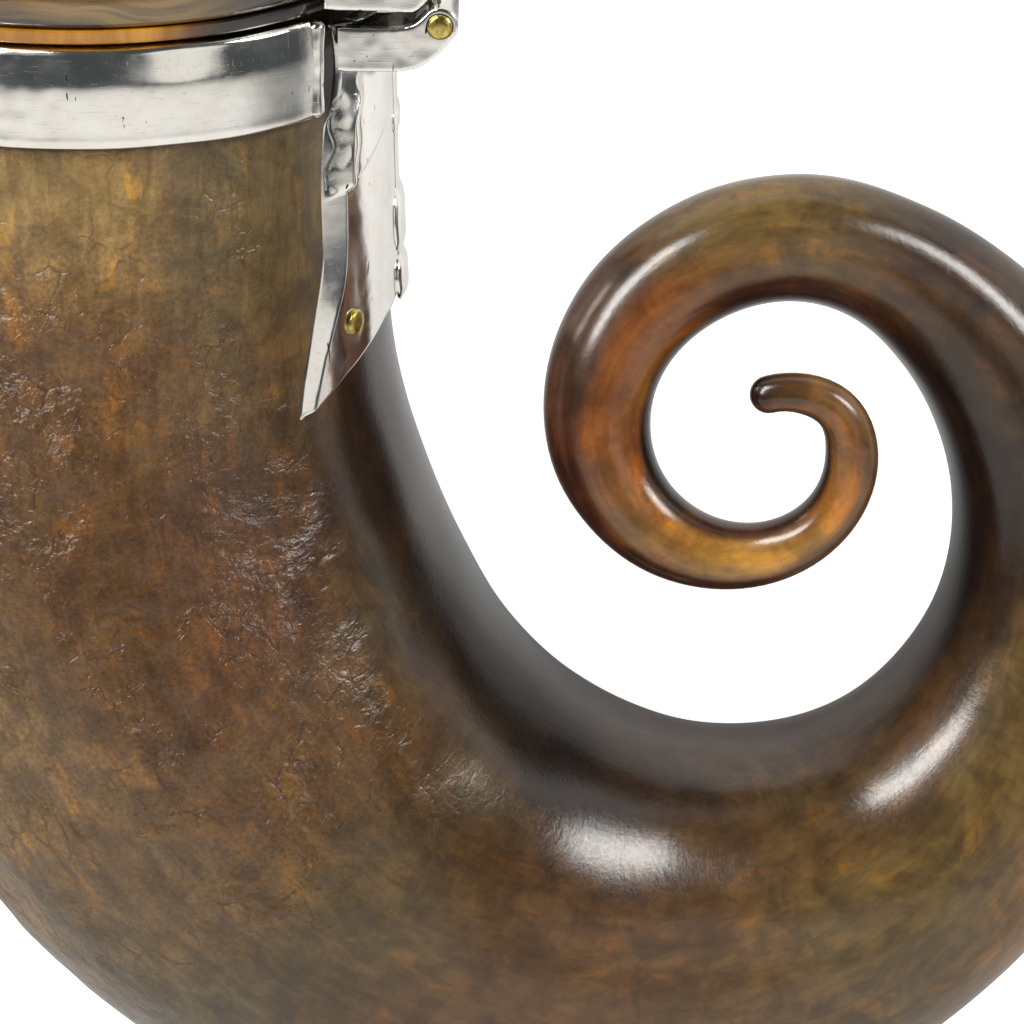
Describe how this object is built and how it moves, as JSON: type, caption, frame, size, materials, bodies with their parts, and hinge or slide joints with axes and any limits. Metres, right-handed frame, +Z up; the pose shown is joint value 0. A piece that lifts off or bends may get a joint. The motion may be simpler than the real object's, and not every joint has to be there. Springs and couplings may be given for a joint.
{
  "type": "snuff mull",
  "caption": "Curled ram's-horn snuff box lying on its side, with a silver collar, a lobed hinge plate and a hinged, domed silver lid.",
  "frame": {"origin": "middle of the bounding box's underside, on the surface the horn lies on", "axes": "+Z up, at right angles to the scroll; +Y out of the mouth and lid; +X from the mouth towards the curl"},
  "size_m": [0.1192, 0.1194, 0.051],
  "materials": {
    "horn": "polished brown horn, rough and scaly towards the mouth",
    "amber_horn": "polished translucent amber horn",
    "silver": "old polished silver with small dents and scratches",
    "brass": "worn polished brass"
  },
  "bodies": {
    "horn": {"horn_body": "horn", "mouth_collar": "silver", "collar_end_bead_front": "silver", "collar_end_bead_rear": "silver", "hinge_plate": "silver", "hinge_plate_tongue": "silver", "hinge_lug_front": "silver", "hinge_lug_rear": "silver", "hinge_pin": "brass", "plate_pin_front": "brass", "plate_pin_rear": "brass"},
    "lid": {"lid_rim": "horn", "lid_dome": "silver", "lid_plug": "amber_horn", "lid_hinge_leaf": "silver", "lid_thumbpiece": "silver"}
  },
  "joints": [
    {"name": "lid_hinge", "type": "hinge", "parent": "horn", "child": "lid", "pos_m": [-0.0037, 0.04768, 0.0253], "axis": [0, 0, -1], "range_deg": [0, 105]}
  ]
}
